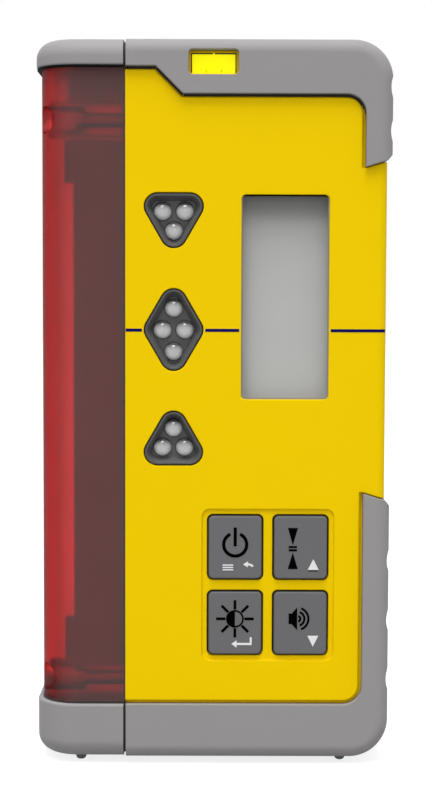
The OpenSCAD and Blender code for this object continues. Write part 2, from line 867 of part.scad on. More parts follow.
module window_block() {
    span_z(window_low, window_high) sensor_plan(window_left, window_right, face_y, window_r);
}

module sensor_window() {
    color("firebrick") on_feet() difference() {
        union() {
            difference() {
                window_block();
                span_z(window_low + window_t, window_high - window_t) sensor_plan(
                    window_left + window_t, window_right + past, face_y - window_t, window_r - window_t);
            }
            intersection() {
                window_block();
                for (z = window_screw_z, side = [-1, 1])
                    rod_x(side * window_screw_y, z, window_left, window_right, window_boss_r);
            }
        }
        for (z = window_screw_z, side = [-1, 1]) {
            rod_x(side * window_screw_y, z, window_left - past, window_seat_x, window_bore_r);
            rod_x(side * window_screw_y, z, window_left, window_right + past, window_screw_r + screw_clear);
        }
    }
}

// Outline, seen from the side, of the seal's flanges in the seams between the caps and the boots
module seam_outline() {
    intersection() {
        translate([0, body_h / 2])
            rounded(2 * (half_d - seam_in), body_h - 2 * seam_in, cap_edge_r - seam_in);
        union() {
            translate([-half_d, 0]) square([2 * half_d, cap_h - rim_r]);
            translate([-half_d, body_h - cap_top_h + rim_r]) square([2 * half_d, cap_top_h]);
        }
    }
}

module window_seal() {
    low = window_low + window_seal_w;
    high = window_high - window_seal_w;
    color("dimgray") on_feet() span_x(window_right, split_x) difference() {
        union() {
            difference() {
                union() {
                    translate([-face_y, window_low]) square([2 * face_y, window_high - window_low]);
                    seam_outline();
                }
                translate([window_seal_w - face_y, low]) square([2 * (face_y - window_seal_w), high - low]);
            }
            for (z = window_screw_z, side = [-1, 1])
                translate([side * window_screw_y, z]) circle(window_boss_r);
        }
        for (z = window_screw_z, side = [-1, 1])
            translate([side * window_screw_y, z]) circle(window_screw_r + screw_clear);
    }
}

module window_screws() {
    head_x = window_seat_x - screw_head_t;
    color("silver") on_feet() for (z = window_screw_z, side = [-1, 1]) difference() {
        union() {
            rod_x(side * window_screw_y, z, head_x + screw_head_t / 2, window_screw_tip, window_screw_r);
            rod_x(side * window_screw_y, z, head_x, window_seat_x, screw_head_r);
        }
        translate([head_x - past, side * window_screw_y, z]) rotate([0, 90, 0])
            cylinder(h = screw_head_t / 2 + past, r = screw_head_r / 2, $fn = 6);
    }
}

module sensor_holder() {
    inside_y = holder_y - holder_t;
    color("darkslategray") on_feet() difference() {
        union() {
            block([split_x - holder_w, -holder_y, holder_low], [split_x, holder_y, holder_high]);
            for (z = [holder_low, holder_high - holder_wing_h]) block(
                [split_x - holder_w - holder_wing, -holder_y, z],
                [split_x, holder_y, z + holder_wing_h]
            );
            block(
                [split_x - holder_w - holder_wing, -holder_end_y, holder_high - holder_t],
                [split_x, holder_end_y, holder_end_high]
            );
        }
        block(
            [split_x - holder_w - holder_wing - past, holder_t - holder_end_y, holder_high - holder_t - past],
            [split_x - holder_t, holder_end_y - holder_t, holder_end_high - holder_t]
        );
        block(
            [split_x - holder_w - holder_wing - past, -inside_y, holder_low + holder_t],
            [split_x - holder_t, inside_y, holder_high - holder_t]
        );
        block(
            [split_x - holder_w - holder_wing - past, -holder_end_y - past, holder_high],
            [split_x - holder_t, holder_end_y + past, holder_high + holder_boss_room]
        );
        block(
            [split_x - holder_t - past, ribbon_y - 2 * ribbon_t, ribbon_z - ribbon_w / 2 - root],
            [split_x + past, ribbon_y + 2 * ribbon_t, ribbon_z + ribbon_w / 2 + root]
        );
    }
}

module sensor_board() {
    color("seagreen") on_feet() block(
        [sensor_board_x, -sensor_board_y, holder_low + holder_t + board_edge],
        [sensor_board_x + board_t, sensor_board_y, holder_high - holder_t - board_edge]
    );
}

module photodiodes() {
    color("black") on_feet() for (i = [0 : photodiode_count - 1]) {
        z = holder_low + diode_h + i * diode_pitch;
        block(
            [sensor_board_x - diode_t, -diode_w / 2, z - diode_h / 2],
            [sensor_board_x, diode_w / 2, z + diode_h / 2]
        );
    }
}

module sensor_ribbon() {
    start = sensor_board_x + board_t;
    color("peru") on_feet() span_z(ribbon_z - ribbon_w / 2, ribbon_z + ribbon_w / 2) polygon([
        [start, ribbon_y],
        [split_x + ribbon_bend, ribbon_y],
        [split_x + 2 * ribbon_bend, board_back + ribbon_t],
        [split_x + 3 * ribbon_bend, board_back + ribbon_t],
        [split_x + 3 * ribbon_bend, board_back],
        [split_x + 2 * ribbon_bend - ribbon_t, board_back],
        [split_x + ribbon_bend - ribbon_t, ribbon_y - ribbon_t],
        [start, ribbon_y - ribbon_t]
    ]);
}

// Board and keys

module main_board() {
    color("seagreen") on_feet() difference() {
        block([board_left, board_y, board_low], [board_right, board_back, board_high]);
        for (spot = case_spots)
            rod_y(spot[0], spot[1], board_y - past, board_back + past, boss_r + boss_clear);
        for (spot = board_spots)
            rod_y(spot[0], spot[1], board_y - past, board_back + past, board_screw_r + screw_clear);
    }
}

module board_screws() {
    color("silver") on_feet() for (spot = board_spots)
        screw_y(spot[0], spot[1], board_screw_tip, board_back, board_screw_r, small_head_r, small_head_t);
}

module board_chips() {
    color("black") on_feet() for (chip = chips) block(
        [lcd_x + chip[0] - chip[2] / 2, board_back, lcd_z + chip[1] - chip[3] / 2],
        [lcd_x + chip[0] + chip[2] / 2, board_back + chip_t, lcd_z + chip[1] + chip[3] / 2]
    );
}

module dome_switches() {
    color("silver") on_feet() {
        span_y(board_y - dome_h / 2, board_y) each_key() circle(dome_r);
        span_y(board_y - dome_h, board_y) each_key() circle(dome_r / 2);
    }
}

module keypad_seal() {
    color("dimgray") on_feet() difference() {
        span_y(-inner_y, keypad_y + keypad_t) keypad_outline(key_flange + keypad_gap + keypad_rim);
        span_y(-inner_y - past, keypad_y) keypad_outline(key_flange + keypad_gap);
        span_y(-inner_y, keypad_y + keypad_t + past) each_key() circle(key_foot_r + keypad_gap);
    }
}

// One key, by its column and row: cap with a bevelled edge, flange behind the panel, foot
module key(col, row) {
    front = -face_y - key_proud;
    flange_y = key_rest_gap - inner_y;
    x = keys_x + col * key_pitch_x / 2;
    z = keys_z + row * key_pitch_z / 2;
    color("gray") on_feet() {
        hull() {
            span_y(front, front + key_edge / 4) translate([x, z])
                rounded(key_w - 2 * key_edge, key_h - 2 * key_edge, key_r, $fn = 32);
            span_y(front + key_edge, flange_y) translate([x, z]) rounded(key_w, key_h, key_r, $fn = 32);
        }
        span_y(flange_y, flange_y + key_flange_t) translate([x, z])
            rounded(key_w + 2 * key_flange, key_h + 2 * key_flange, key_r);
        rod_y(x, z, flange_y + key_flange_t, board_y - dome_h - key_travel - press_gap, key_foot_r);
    }
}

module key_power() {
    key(-1, 1);
}

module key_deadband() {
    key(1, 1);
}

module key_brightness() {
    key(-1, -1);
}

module key_volume() {
    key(1, -1);
}

// Lights and front display

// Frame of a light group: plug in the panel, flange behind it, sloping dish and a hole for each light
module led_bezel(corners, leds) {
    front = pod_sink - face_y;
    color("dimgray") on_feet() difference() {
        union() {
            span_y(front, fit - inner_y) pod_outline(corners, -pod_gap);
            span_y(fit - inner_y, fit + pod_flange_t - inner_y) pod_outline(corners, pod_flange);
        }
        hull() for (spot = corners)
            translate([light_x + spot[0], front - fit, grade_z + spot[1]]) rotate([-90, 0, 0])
                cylinder(h = pod_depth, r1 = pod_r - pod_lip, r2 = pod_r - pod_lip - pod_slope, $fn = 32);
        for (spot = leds)
            rod_y(light_x + spot[0], grade_z + spot[1], front, past - cavity_y, led_r + led_gap);
    }
}

module led_bezel_upper() {
    led_bezel(upper_corners, upper_leds);
}

module led_bezel_centre() {
    led_bezel(centre_corners, centre_leds);
}

module led_bezel_lower() {
    led_bezel(lower_corners, lower_leds);
}

// One light: dome, body and collar turned in one piece, on two leads to the board
module led(x, z) {
    dome_y = led_sink + led_r - face_y;
    collar_y = fit + pod_flange_t - inner_y + led_gap;
    body = collar_y - dome_y;
    translate([x, dome_y, z]) rotate([90, 0, 0]) {
        rotate_extrude() {
            intersection() {
                circle(led_r);
                square(led_r);
            }
            translate([0, -body]) square([led_r, body]);
            translate([0, -body - led_collar_t]) square([led_r + led_collar, led_collar_t]);
        }
        for (side = [-1, 1]) translate([side * led_r / 2, 0, dome_y - board_y])
            cylinder(h = board_y - collar_y, r = lead_r);
    }
}

module leds(spots) {
    color("gainsboro") on_feet() for (spot = spots) led(light_x + spot[0], grade_z + spot[1]);
}

module leds_upper() {
    leds(upper_leds);
}

module leds_centre() {
    leds(centre_leds);
}

module leds_lower() {
    leds(lower_leds);
}

module lcd_lens_front() {
    color("lightgray", 0.5) on_feet() span_y(-inner_y - lens_t, -inner_y) lcd_outline(lens_lap);
}

module lcd_panel_front() {
    color("darkgray") on_feet() span_y(lcd_depth - inner_y, lcd_depth + lcd_t - inner_y)
        lcd_outline(lens_lap / 2);
}

module lcd_holder_front() {
    color("white") on_feet() difference() {
        span_y(fit - inner_y, board_y) lcd_outline(lens_lap);
        span_y(-inner_y, lcd_depth + lcd_t + fit - inner_y) lcd_outline(lens_lap / 2 + fit);
    }
}

// Level vial

module vial_block() {
    color("yellow", 0.7) on_feet() difference() {
        block(
            [vial_x - vial_w / 2, vial_front, vial_z - vial_h / 2],
            [vial_x + vial_w / 2, vial_back, vial_z + vial_h / 2]
        );
        rod_x(vial_y, vial_z, vial_x - vial_w / 2 - past, vial_x + vial_w / 2 + past, vial_bore_r);
    }
}

module vial_fluid() {
    half = vial_w / 2 - vial_plug_l;
    color("greenyellow", 0.6) on_feet() difference() {
        rod_x(vial_y, vial_z, vial_x - half, vial_x + half, vial_bore_r - bore_fit);
        translate([vial_x, vial_y, vial_z + vial_bore_r - bubble_r]) rotate([0, 90, 0]) rotate_extrude() {
            for (end = [-1, 1]) intersection() {
                translate([0, end * bubble_l / 2]) circle(bubble_r);
                translate([0, end > 0 ? bubble_l / 2 : -bubble_l / 2 - bubble_r]) square(bubble_r);
            }
            translate([0, -bubble_l / 2]) square([bubble_r, bubble_l]);
        }
    }
}

module vial_end_plugs() {
    half = vial_w / 2;
    color("yellow") on_feet() {
        rod_x(vial_y, vial_z, vial_x - half, vial_x - half + vial_plug_l, vial_bore_r - bore_fit);
        rod_x(vial_y, vial_z, vial_x + half - vial_plug_l, vial_x + half, vial_bore_r - bore_fit);
    }
}

// Rear display, buzzer and clamp thread

module lcd_lens_rear() {
    color("lightgray", 0.5) on_feet() span_y(inner_y, inner_y + lens_t) rear_lcd_outline(lens_lap);
}

module lcd_panel_rear() {
    color("darkgray") on_feet() span_y(rear_board_y + board_t, rear_board_y + board_t + lcd_t)
        rear_lcd_outline(lens_lap / 2);
}

module rear_display_board() {
    color("seagreen") on_feet() difference() {
        span_y(rear_board_y, rear_board_y + board_t) translate([rear_x, rear_lcd_z])
            square([rear_lcd_w + 2 * lens_lap, rear_board_h], center = true);
        for (spot = rear_posts) rod_y(spot[0], spot[1], 0, inner_y, board_screw_r + screw_clear);
    }
}

module rear_board_screws() {
    color("silver") on_feet() for (spot = rear_posts) mirror([0, 1, 0])
        screw_y(spot[0], spot[1], -rear_screw_tip, -rear_board_y, board_screw_r, small_head_r, small_head_t);
}

module display_ribbon() {
    middle = (board_back + rear_board_y) / 2;
    color("peru") on_feet() span_z(rear_lcd_z - ribbon_w, rear_lcd_z) polygon([
        [rear_x - ribbon_bend, board_back],
        [rear_x, middle],
        [rear_x - ribbon_bend, rear_board_y],
        [rear_x - ribbon_bend - ribbon_t, rear_board_y],
        [rear_x - ribbon_t, middle],
        [rear_x - ribbon_bend - ribbon_t, board_back]
    ]);
}

module buzzer() {
    color("black") on_feet() rod_y(buzzer_x, buzzer_z, buzzer_y, buzzer_y + buzzer_l, buzzer_r);
}

module sound_membrane() {
    color("white") on_feet() rod_y(buzzer_x, buzzer_z, inner_y - membrane_t, inner_y, membrane_r);
}

module clamp_insert() {
    color("goldenrod") on_feet() difference() {
        rod_y(rear_x, clamp_z, face_y - clamp_l, face_y, clamp_sleeve_r);
        rod_y(rear_x, clamp_z, face_y - clamp_l - past, face_y + past, clamp_r);
    }
}

// Battery bay

// One cell, standing with its button up
module cell() {
    cylinder(h = cell_l - button_h, r = cell_r);
    cylinder(h = cell_l, r = button_r);
}

module battery_cell_left() {
    color("slategray") on_feet()
        translate([rear_x - cell_r - cell_gap / 2, cell_y, bay_z + contact_room]) cell();
}

module battery_cell_right() {
    color("slategray") on_feet()
        translate([rear_x + cell_r + cell_gap / 2, cell_y, bay_top_z - contact_room])
            mirror([0, 0, 1]) cell();
}

// One leaf of a contact, bowed from its plate towards the cell, as an outline of y and z
module leaf() {
    tip = contact_room - leaf_gap;
    polygon([
        [-contact_w / 2, contact_t],
        [-leaf_flat, tip],
        [leaf_flat, tip],
        [contact_w / 2, contact_t],
        [contact_w / 2 - 2 * contact_t, contact_t],
        [leaf_flat - contact_t, tip - contact_t],
        [contact_t - leaf_flat, tip - contact_t],
        [2 * contact_t - contact_w / 2, contact_t]
    ]);
    translate([-contact_w / 2, 0]) square([contact_w, contact_t]);
}

module battery_contacts() {
    color("silver") on_feet() for (side = [-1, 1]) {
        x = rear_x + side * (cell_r + cell_gap / 2);
        translate([0, cell_y, bay_z]) span_x(x - contact_w / 2, x + contact_w / 2) leaf();
        translate([0, cell_y, bay_top_z]) mirror([0, 0, 1])
            span_x(x - contact_w / 2, x + contact_w / 2) leaf();
    }
    color("silver") on_feet() block(
        [rear_x - contact_gap_half, cell_y - contact_w / 2, bay_z],
        [rear_x + contact_gap_half, cell_y + contact_w / 2, bay_z + contact_t]
    );
}

module battery_door() {
    color("gold") on_feet() difference() {
        intersection() {
            span_x(rear_x - door_half_w, rear_x + door_half_w) {
                translate([inner_y, pin_z]) square([door_t, door_top_z - pin_z]);
                translate([pin_y, pin_z]) circle(door_t / 2);
            }
            span_y(0, half_d) door_outline(0);
        }
        rod_x(pin_y, pin_z, rear_x - pin_half_l, rear_x + pin_half_l, pin_r + pin_fit);
    }
}

module battery_door_seal() {
    color("dimgray") on_feet() span_y(inner_y - door_seal_t, inner_y) difference() {
        intersection() {
            door_outline(-seal_in);
            translate([rear_x, (bay_z + bay_top_z) / 2])
                square([2 * door_half_w, bay_l + 2 * (door_lap - seal_in)], center = true);
        }
        translate([rear_x, (bay_z + bay_top_z) / 2])
            square([2 * (bay_half_w + seal_in), bay_l + 2 * seal_in], center = true);
    }
}

module battery_door_pin() {
    color("silver") on_feet() rod_x(pin_y, pin_z, rear_x - pin_half_l, rear_x + pin_half_l, pin_r);
}

// Feet

module foot_holes() {
    for (spot = foot_spots) translate([spot[0], spot[1], -past])
        cylinder(h = foot_stem_l + fit + past, r = foot_r + fit);
}

// Round-nosed studs, pressed into the bottom boot and the lower cap
module feet() {
    color("dimgray") for (spot = foot_spots) translate([spot[0], spot[1], 0]) rotate_extrude() {
        translate([0, foot_nose_r]) square([foot_r, foot_h + foot_stem_l - foot_nose_r]);
        square([foot_r - foot_nose_r, foot_nose_r]);
        intersection() {
            translate([foot_r - foot_nose_r, foot_nose_r]) circle(foot_nose_r);
            square([foot_r, foot_nose_r]);
        }
    }
}

front_shell();
rear_shell();
case_seal();
case_screws();
top_boot();
bottom_boot();
window_cap_top();
window_cap_bottom();
sensor_window();
window_seal();
window_screws();
sensor_holder();
sensor_board();
photodiodes();
sensor_ribbon();
main_board();
board_screws();
board_chips();
dome_switches();
keypad_seal();
led_bezel_upper();
led_bezel_centre();
led_bezel_lower();
leds_upper();
leds_centre();
leds_lower();
lcd_lens_front();
lcd_panel_front();
lcd_holder_front();
key_power();
key_deadband();
key_brightness();
key_volume();
vial_block();
vial_fluid();
vial_end_plugs();
lcd_lens_rear();
lcd_panel_rear();
rear_display_board();
rear_board_screws();
display_ribbon();
buzzer();
sound_membrane();
clamp_insert();
battery_cell_left();
battery_cell_right();
battery_contacts();
battery_door();
battery_door_seal();
battery_door_pin();
feet();
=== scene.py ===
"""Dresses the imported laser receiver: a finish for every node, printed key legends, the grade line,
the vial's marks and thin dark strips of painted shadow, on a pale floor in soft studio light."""
import math

import bmesh
import bpy
from mathutils import Matrix, Vector


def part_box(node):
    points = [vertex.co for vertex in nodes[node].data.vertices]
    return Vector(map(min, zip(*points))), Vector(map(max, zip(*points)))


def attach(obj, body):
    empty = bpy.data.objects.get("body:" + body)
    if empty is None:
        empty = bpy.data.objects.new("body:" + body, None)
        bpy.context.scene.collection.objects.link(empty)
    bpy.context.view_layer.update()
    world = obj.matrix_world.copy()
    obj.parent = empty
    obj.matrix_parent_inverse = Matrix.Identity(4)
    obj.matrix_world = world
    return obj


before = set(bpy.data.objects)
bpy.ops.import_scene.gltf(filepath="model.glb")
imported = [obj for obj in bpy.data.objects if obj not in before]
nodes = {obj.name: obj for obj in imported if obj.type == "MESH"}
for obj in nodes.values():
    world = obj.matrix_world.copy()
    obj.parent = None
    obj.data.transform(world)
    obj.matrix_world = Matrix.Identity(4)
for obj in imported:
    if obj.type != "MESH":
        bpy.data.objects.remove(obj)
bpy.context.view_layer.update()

MM = 0.001
FRONT = Vector((0, -1, 0))


def tone(red, green, blue):
    """A colour as seen on a screen, from 0 to 255, as the linear colour that a shader takes."""
    def linear(level):
        share = level / 255
        return share / 12.92 if share <= 0.04045 else ((share + 0.055) / 1.055) ** 2.4
    return (linear(red), linear(green), linear(blue), 1.0)


# Shader tools

class Value:
    """A shader socket that Python's operators work on. Each operator adds a Math node."""

    def __init__(self, finish, socket):
        self.finish = finish
        self.socket = socket

    def math(self, operation, first, second):
        return self.finish.add("ShaderNodeMath", {"operation": operation}, {0: first, 1: second})

    def __add__(self, other):
        return self.math("ADD", self, other)

    def __radd__(self, other):
        return self.math("ADD", other, self)

    def __sub__(self, other):
        return self.math("SUBTRACT", self, other)

    def __rsub__(self, other):
        return self.math("SUBTRACT", other, self)

    def __mul__(self, other):
        return self.math("MULTIPLY", self, other)

    def __rmul__(self, other):
        return self.math("MULTIPLY", other, self)


class Finish:
    """One procedural material: its main shader, and the nodes that feed it."""

    def __init__(self, name, **constants):
        self.material = bpy.data.materials.new(name)
        self.material.use_nodes = True
        self.tree = self.material.node_tree
        self.shader = self.tree.nodes["Principled BSDF"]
        for socket, value in constants.items():
            self.shader.inputs[self.label(socket)].default_value = value

    def label(self, name):
        """A socket's name on the shader, from its plain name here."""
        return name.replace("_", " ").title().replace("Ior", "IOR")

    def feed(self, socket, value):
        """Links a value to a socket, or sets the socket to it."""
        if isinstance(value, Value):
            self.tree.links.new(value.socket, socket)
        else:
            socket.default_value = value

    def add(self, kind, settings=None, inputs=None, output=0):
        """Adds a node: its settings first, then its sockets' values or links. Gives one output."""
        node = self.tree.nodes.new(kind)
        for name, value in (settings or {}).items():
            setattr(node, name, value)
        for name, value in (inputs or {}).items():
            self.feed(node.inputs[name], value)
        return Value(self, node.outputs[output])

    def main(self, **links):
        """Feeds sockets of the main shader."""
        for socket, value in links.items():
            self.feed(self.shader.inputs[self.label(socket)], value)

    def place(self):
        return self.add("ShaderNodeTexCoord", output="Object")

    def noise(self, scale, detail=2.0):
        """Noise from 0 to 1, with so many waves to a metre."""
        return self.add("ShaderNodeTexNoise", inputs={
            "Vector": self.place(), "Scale": scale, "Detail": detail, "Roughness": 0.55})

    def blend(self, share, first, second):
        """A colour between two, by a share from 0 to 1. A Mix node's colour sockets go by number."""
        colours = {0: share, 6: first, 7: second}
        return self.add("ShaderNodeMix", {"data_type": "RGBA"}, colours, output=2)

    def steps(self, share, low, high):
        """A value from low to high as the share goes from 0 to 1."""
        return share * (high - low) + low

    def surface(self, kind, inputs):
        """Puts a last shader between the main shader and the material's output."""
        last = self.add(kind, inputs=inputs)
        self.tree.links.new(last.socket, self.tree.nodes["Material Output"].inputs["Surface"])

    def body(self):
        return Value(self, self.shader.outputs[0])

    def grain(self, height, depth, strength, edge):
        """Surface grain over edges that are rounded by a small radius."""
        round_edge = self.add("ShaderNodeBevel", {"samples": 6}, {"Radius": edge})
        normal = self.add("ShaderNodeBump", inputs={
            "Height": height, "Distance": depth, "Strength": strength, "Normal": round_edge})
        self.main(normal=normal)


# Finishes

CLOUD_SCALE = 70.0
GRAIN_DEPTH = 0.05 * MM
FINE_DEPTH = 0.01 * MM
SHADE_START = 2.5 * MM
SHADE_END = 9.8 * MM
KEY_FACE_T = 0.1 * MM
KEY_SIDE_T = 0.3 * MM
YELLOW = tone(243, 205, 0)
BOOT_GREY = tone(150, 148, 149)
KEY_GREY = tone(108, 108, 110)
DISPLAY_GREY = tone(184, 185, 184)
DEEP_RED = (0.66, 0.026, 0.026, 1)
LIGHT_RED = (0.72, 0.036, 0.036, 1)
EDGE_RED = (0.26, 0.012, 0.012, 1)


def shaded(colour, factor):
    """The colour made lighter or darker by a factor."""
    return tuple(min(1.0, part * factor) for part in colour[:3]) + (1.0,)


def moulded(name, colour, rough, grain, strength, edge, spread=0.04, **constants):
    """Moulded plastic or rubber: faint shifts of colour and gloss, fine grain and soft edges."""
    finish = Finish(name, **constants)
    cloud = finish.noise(CLOUD_SCALE)
    fine = finish.noise(grain, 3.0)
    finish.main(
        base_color=finish.blend(cloud, shaded(colour, 1 - spread), shaded(colour, 1 + spread)),
        roughness=finish.steps(fine, rough - 0.06, rough + 0.06),
    )
    finish.grain(fine, GRAIN_DEPTH, strength, edge)
    return finish.material


def soft_key():
    """Rubber of the keys, with painted shade: darker down their sides than on their faces."""
    finish = Finish("key_rubber", specular_ior_level=0.1)
    cloud = finish.noise(CLOUD_SCALE)
    fine = finish.noise(2300.0, 3.0)
    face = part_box("key_power")[0].y
    depth = finish.add("ShaderNodeSeparateXYZ", inputs={"Vector": finish.place()}, output="Y")
    # Painted shade: a key's sides turn dark with depth behind its face.
    side = finish.add("ShaderNodeMapRange", inputs={
        "Value": depth, "From Min": face + KEY_FACE_T, "From Max": face + KEY_SIDE_T})
    plain = finish.blend(cloud, shaded(KEY_GREY, 0.98), shaded(KEY_GREY, 1.02))
    finish.main(
        base_color=finish.blend(side, plain, shaded(KEY_GREY, 0.2)),
        roughness=finish.steps(fine, 0.52, 0.64),
    )
    finish.grain(fine, GRAIN_DEPTH, strength=0.12, edge=0.12 * MM)
    return finish.material


def tinted_window():
    """Frosted red plastic that light goes through: deeper red where its wall is seen edge on, a little
    haze where it is seen flat."""
    finish = Finish("red_window_plastic", ior=1.2, transmission_weight=1.0)
    cloud = finish.noise(35.0)
    fine = finish.noise(900.0)
    slant = finish.add("ShaderNodeLayerWeight", inputs={"Blend": 0.5}, output="Facing")
    edge = finish.add("ShaderNodeMapRange", inputs={"Value": slant, "From Min": 0.25, "From Max": 0.75})
    flat = finish.add("ShaderNodeMapRange", inputs={"Value": slant, "From Min": 0.4, "From Max": 0.04})
    red = finish.blend(cloud, DEEP_RED, LIGHT_RED)
    finish.main(
        base_color=finish.blend(edge, red, EDGE_RED),
        roughness=finish.steps(fine, 0.50, 0.56),
    )
    haze = finish.add("ShaderNodeBsdfPrincipled", inputs={
        "Base Color": tone(222, 222, 222), "Roughness": 0.8, "Specular IOR Level": 0.0})
    share = finish.steps(cloud, 0.06, 0.075) * (flat * 0.9 + 0.1)
    finish.surface("ShaderNodeMixShader", {0: share, 1: finish.body(), 2: haze})
    return finish.material


def light_dome():
    """Diffusing resin of a light, with painted light and shade: darker on its upper side and paler
    towards its lower side, as a lens over a bright cup looks.
    """
    finish = Finish("light_resin", specular_ior_level=0.5)
    normal = finish.add("ShaderNodeNewGeometry", output="Normal")
    upright = finish.add("ShaderNodeSeparateXYZ", inputs={"Vector": normal}, output="Z")
    speck = finish.noise(1800.0)
    # Painted light and shade: pale where the surface faces down, dark where it faces up.
    lower = finish.add("ShaderNodeMapRange", inputs={
        "Value": upright + (speck - 0.5) * 0.06, "From Min": 0.75, "From Max": -0.4})
    finish.main(
        base_color=finish.blend(lower, tone(70, 70, 70), tone(218, 218, 218)),
        roughness=finish.steps(speck, 0.08, 0.12),
    )
    return finish.material


def display_glass(name, panel):
    """Grey display under a satin polariser, with painted shadow: darker towards the panel's top edge, as
    the recess's top edge shades it.
    """
    finish = Finish(name)
    fine = finish.noise(2600.0)
    cloud = finish.noise(45.0)
    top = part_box(panel)[1].z
    height = finish.add("ShaderNodeSeparateXYZ", inputs={"Vector": finish.place()}, output="Z")
    # Painted shadow from the top edge of the display's recess.
    shade = finish.add("ShaderNodeMapRange", {"interpolation_type": "SMOOTHSTEP"}, {
        "Value": height, "From Min": top - SHADE_END, "From Max": top - SHADE_START})
    plain = finish.blend(cloud, shaded(DISPLAY_GREY, 0.97), shaded(DISPLAY_GREY, 1.03))
    finish.main(
        base_color=finish.blend(shade, plain, shaded(DISPLAY_GREY, 0.24)),
        roughness=finish.steps(fine, 0.35, 0.45),
    )
    finish.grain(fine, FINE_DEPTH, strength=0.1, edge=0.1 * MM)
    return finish.material


def clear_lens():
    """Clear cover: almost nothing but its reflections."""
    finish = Finish("clear_cover", base_color=tone(225, 228, 228), ior=1.49)
    smear = finish.noise(60.0)
    finish.main(roughness=finish.steps(smear, 0.03, 0.08), alpha=finish.steps(smear, 0.05, 0.08))
    return finish.material


def fluorescent_painted_glow():
    """Vial plastic that glows in daylight, with painted light: its emission keeps it bright in the shade
    of its recess.
    """
    finish = Finish("fluorescent_plastic_painted_glow", specular_ior_level=0.05, emission_strength=0.5)
    cloud = finish.noise(120.0)
    glow = finish.blend(cloud, tone(255, 244, 0), tone(255, 252, 14))
    finish.main(base_color=glow, emission_color=glow, roughness=finish.steps(cloud, 0.12, 0.2))
    return finish.material


def vial_liquid():
    # Painted light: an emission brightens the liquid.
    finish = Finish("vial_liquid", ior=1.36, emission_strength=0.3)
    cloud = finish.noise(160.0)
    glow = finish.blend(cloud, tone(240, 255, 20), tone(255, 255, 60))
    finish.main(base_color=glow, emission_color=glow, roughness=finish.steps(cloud, 0.03, 0.08),
                alpha=finish.steps(cloud, 0.5, 0.6))
    return finish.material


def turned_metal(name, colour, rough):
    """Bare metal with fine turning marks."""
    finish = Finish(name, metallic=1.0)
    marks = finish.noise(3200.0, 4.0)
    cloud = finish.noise(220.0)
    finish.main(
        base_color=finish.blend(cloud, shaded(colour, 0.9), colour),
        roughness=finish.steps(marks, rough - 0.08, rough + 0.1),
    )
    finish.grain(marks, FINE_DEPTH, strength=0.15, edge=0.08 * MM)
    return finish.material


def board_mask():
    """Green board with faint tracks under its mask."""
    finish = Finish("board_mask", coat_weight=0.3)
    tracks = finish.add("ShaderNodeTexBrick", {"offset": 0.5}, {
        "Vector": finish.place(), "Scale": 180.0, "Mortar Size": 0.08, "Color1": tone(12, 84, 44),
        "Color2": tone(14, 92, 50), "Mortar": tone(34, 124, 70)})
    fine = finish.noise(2200.0)
    finish.main(base_color=tracks, roughness=finish.steps(fine, 0.3, 0.45))
    return finish.material


def printed(name, colour):
    """Ink of a legend or line: slightly uneven."""
    finish = Finish(name, specular_ior_level=0.0)
    fine = finish.noise(3000.0)
    finish.main(
        base_color=finish.blend(fine, shaded(colour, 0.92), colour),
        roughness=finish.steps(fine, 0.4, 0.55),
    )
    return finish.material


yellow_plastic = moulded(
    "yellow_plastic", YELLOW, rough=0.46, grain=2400.0, strength=0.1, edge=0.4 * MM, spread=0.012,
    specular_ior_level=0.04)
boot_rubber = moulded(
    "boot_rubber", BOOT_GREY, rough=0.6, grain=1900.0, strength=0.16, edge=0.35 * MM, spread=0.02,
    specular_ior_level=0.15)
cap_plastic = moulded(
    "cap_plastic", BOOT_GREY, rough=0.55, grain=2100.0, strength=0.12, edge=0.3 * MM, spread=0.02,
    specular_ior_level=0.15)
key_rubber = soft_key()
bezel_plastic = moulded(
    "bezel_plastic", tone(80, 80, 81), rough=0.42, grain=2600.0, strength=0.08, edge=0.2 * MM,
    spread=0.03, specular_ior_level=0.3)
seal_rubber = moulded(
    "seal_rubber", tone(94, 91, 91), rough=0.7, grain=2000.0, strength=0.1, edge=0.1 * MM)
# Dark rubber of the real seals, also used for painted shadows: the band at the window's bottom cap, the
# strip under the top boot's edge and the strip round the vial.
gasket_rubber_and_painted_shade = moulded(
    "gasket_rubber_and_painted_shade", tone(38, 34, 34), rough=0.7, grain=2000.0, strength=0.1, edge=0.1 * MM)
# Near-black for the painted shadow under the top cap.
painted_shadow_black = moulded(
    "painted_shadow_black", tone(14, 15, 14), rough=0.7, grain=2000.0, strength=0.1, edge=0.1 * MM,
    specular_ior_level=0.05)
foot_rubber = moulded(
    "foot_rubber", tone(112, 112, 113), rough=0.65, grain=2000.0, strength=0.15, edge=0.2 * MM)
holder_plastic = moulded(
    "holder_plastic", tone(50, 49, 49), rough=0.6, grain=2200.0, strength=0.1, edge=0.2 * MM)
frame_plastic = moulded(
    "frame_plastic", tone(66, 66, 68), rough=0.5, grain=2200.0, strength=0.08, edge=0.15 * MM)
chip_plastic = moulded(
    "chip_plastic", tone(32, 32, 34), rough=0.5, grain=2600.0, strength=0.08, edge=0.1 * MM)
diode_resin = moulded(
    "diode_resin", tone(40, 24, 34), rough=0.15, grain=2600.0, strength=0.02, edge=0.1 * MM)
ribbon_film = moulded(
    "ribbon_film", tone(176, 120, 52), rough=0.35, grain=1500.0, strength=0.03, edge=0.02 * MM)
vent_cloth = moulded(
    "vent_cloth", tone(226, 225, 220), rough=0.9, grain=1400.0, strength=0.4, edge=0.05 * MM)
cell_wrap = moulded(
    "cell_wrap", tone(72, 80, 92), rough=0.3, grain=1600.0, strength=0.03, edge=0.3 * MM)
steel = turned_metal("steel", tone(196, 197, 200), rough=0.32)
black_steel = turned_metal("black_steel", tone(112, 110, 112), rough=0.42)
brass = turned_metal("brass", tone(205, 168, 92), rough=0.3)
